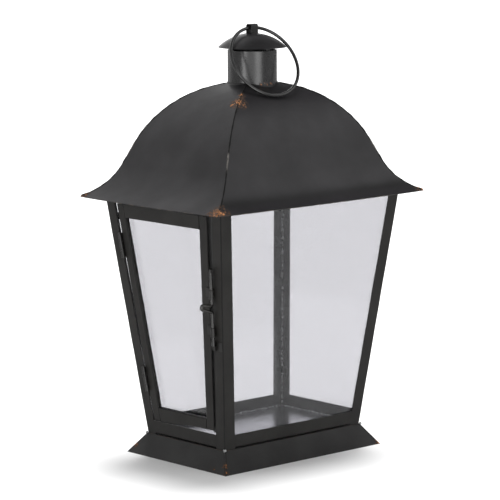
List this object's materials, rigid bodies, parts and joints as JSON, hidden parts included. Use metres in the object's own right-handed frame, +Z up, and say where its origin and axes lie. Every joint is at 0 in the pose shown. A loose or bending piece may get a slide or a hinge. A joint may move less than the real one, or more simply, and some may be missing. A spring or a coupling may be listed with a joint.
{
  "type": "candle lantern",
  "caption": "Sheet-metal candle lantern: flared base, tapered glazed body with a bolted door, ogee roof, chimney with domed cap and carry ring.",
  "frame": {"origin": "middle of the base's underside, on the surface that the lantern stands on", "axes": "+Z up; the wide glazed faces look along -Y and +Y, the door fills the narrow face that looks along -X"},
  "size_m": [0.2786, 0.2064, 0.43],
  "materials": {
    "frame_paint": "satin black paint, lightly worn",
    "base_paint": "satin black paint with rust at the corners",
    "roof_paint": "satin black paint, worn at the eaves",
    "chimney_paint": "satin black paint",
    "fitting_paint": "satin black paint",
    "ring_paint": "satin black paint",
    "floor_metal": "galvanised sheet",
    "tab_metal": "dark tinned strip",
    "pane_glass": "clear float glass, faintly smoky"
  },
  "bodies": {
    "body": {"base_skirt_back": "base_paint", "base_skirt_front": "base_paint", "base_skirt_left": "base_paint", "base_skirt_right": "base_paint", "bottom_rail_back": "frame_paint", "bottom_rail_front": "frame_paint", "bottom_rail_right": "frame_paint", "cap_stays": "chimney_paint", "chimney_cap": "chimney_paint", "chimney_tube": "chimney_paint", "corner_post_back_right": "frame_paint", "corner_post_door_bolt": "frame_paint", "corner_post_door_hinge": "frame_paint", "corner_post_front_right": "frame_paint", "door_lintel": "frame_paint", "door_sill": "frame_paint", "door_stop_side": "frame_paint", "door_stop_top": "frame_paint", "floor_plate": "floor_metal", "glass_back": "pane_glass", "glass_front": "pane_glass", "glass_right": "pane_glass", "hinge_leaf_post_lower": "fitting_paint", "hinge_leaf_post_upper": "fitting_paint", "hinge_pin_lower": "fitting_paint", "hinge_pin_upper": "fitting_paint", "latch_keeper": "fitting_paint", "pane_tabs": "tab_metal", "ring_strap": "ring_paint", "roof_panel_back": "roof_paint", "roof_panel_front": "roof_paint", "roof_panel_left": "roof_paint", "roof_panel_right": "roof_paint", "top_rail_back": "frame_paint", "top_rail_front": "frame_paint", "top_rail_right": "frame_paint"},
    "door": {"door_pane_tabs": "tab_metal", "door_rail_bottom": "frame_paint", "door_rail_top": "frame_paint", "door_stile_bolt": "frame_paint", "door_stile_hinge": "frame_paint", "glass_door": "pane_glass", "hinge_leaf_door_lower": "fitting_paint", "hinge_leaf_door_upper": "fitting_paint", "latch_guide_lower": "fitting_paint", "latch_guide_upper": "fitting_paint"},
    "bolt": {"latch_bolt": "fitting_paint"},
    "ring": {"carry_ring": "ring_paint"}
  },
  "joints": [
    {"name": "door_hinge", "type": "hinge", "parent": "body", "child": "door", "pos_m": [-0.10032, 0.0514, 0.07727], "axis": [0.1169, -0.1115, -0.9869], "range_deg": [0, 110]},
    {"name": "bolt_slide", "type": "slide", "parent": "door", "child": "bolt", "axis": [-0.1173, -0.0841, 0.9895], "range_m": [0, 0.0045]},
    {"name": "ring_swing", "type": "hinge", "parent": "body", "child": "ring", "pos_m": [0, 0, 0.4262], "axis": [-0.9954, 0.0958, 0], "range_deg": [0, 294]}
  ]
}
